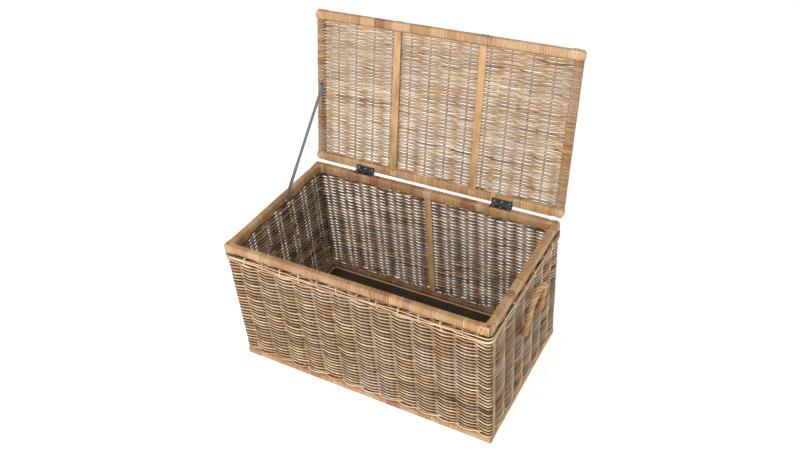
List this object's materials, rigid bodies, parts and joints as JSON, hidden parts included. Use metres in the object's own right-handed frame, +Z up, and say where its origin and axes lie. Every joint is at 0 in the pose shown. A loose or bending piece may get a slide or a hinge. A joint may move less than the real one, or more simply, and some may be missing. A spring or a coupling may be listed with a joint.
{
  "type": "wicker storage trunk",
  "caption": "Rectangular woven rattan storage trunk with cane-wrapped rails, a butt-hinged lid held open by a strap, and rope carrying handles on its ends.",
  "frame": {"origin": "centre of the base on the floor", "axes": "+Z up, the front faces -Y, the hinged side faces +Y, +X to the right seen from the front"},
  "size_m": [0.8706, 0.5962, 0.8722],
  "materials": {
    "cane": "satin",
    "weaver": "satin",
    "pole": "satin",
    "board": "matte",
    "batten": "satin",
    "hinge": "semi-gloss black",
    "screw": "bright",
    "strap": "woven tape",
    "rope": "twisted fibre"
  },
  "bodies": {
    "trunk": {"base_board": "board", "base_bars": "pole", "base_rail_front": "pole", "base_rail_back": "pole", "base_rail_left": "pole", "base_rail_right": "pole", "base_wraps": "cane", "ledge_rails": "cane", "corner_posts": "pole", "stakes_front": "pole", "stakes_back": "pole", "stakes_left": "pole", "stakes_right": "pole", "weave_front": "weaver", "weave_back": "weaver", "weave_left": "weaver", "weave_right": "weaver", "rim_rail_front": "pole", "rim_rail_back": "pole", "rim_rail_left": "pole", "rim_rail_right": "pole", "rim_wrap_front": "cane", "rim_wrap_back": "cane", "rim_wrap_left": "cane", "rim_wrap_right": "cane", "rim_corner_bindings": "cane", "border_canes": "weaver", "back_batten": "batten", "back_batten_binding": "cane", "handle_tails_left": "rope", "handle_tails_right": "rope", "hinge_lower_leaf_left": "hinge", "hinge_lower_leaf_right": "hinge", "hinge_pins": "hinge", "hinge_lower_screws": "screw", "strap": "strap", "strap_lower_screw": "screw"},
    "lid": {"strap_upper_screw": "screw", "lid_rail_front": "pole", "lid_rail_back": "pole", "lid_rail_left": "pole", "lid_rail_right": "pole", "lid_wrap_front": "cane", "lid_wrap_back": "cane", "lid_corner_bindings": "cane", "lid_edge_weave_left": "weaver", "lid_edge_weave_right": "weaver", "lid_stakes": "pole", "lid_weave": "weaver", "lid_batten_left": "batten", "lid_batten_right": "batten", "lid_batten_bindings": "cane", "hinge_upper_leaf_left": "hinge", "hinge_upper_leaf_right": "hinge", "hinge_upper_screws": "screw"},
    "handle_right": {"handle_rope_right": "rope", "handle_bindings_right": "cane"},
    "handle_left": {"handle_rope_left": "rope", "handle_bindings_left": "cane"}
  },
  "joints": [
    {"name": "lid_hinge", "type": "hinge", "parent": "trunk", "child": "lid", "pos_m": [0, 0.2382, 0.4179], "axis": [1, 0, 0], "range_deg": [0, 102], "deforming": ["strap"]},
    {"name": "handle_right_swing", "type": "hinge", "parent": "trunk", "child": "handle_right", "pos_m": [0.4096, 0.01425, 0.237], "axis": [0, 1, 0], "range_deg": [0, 160]},
    {"name": "handle_left_swing", "type": "hinge", "parent": "trunk", "child": "handle_left", "pos_m": [-0.4096, 0.01425, 0.237], "axis": [0, -1, 0], "range_deg": [0, 160]}
  ]
}
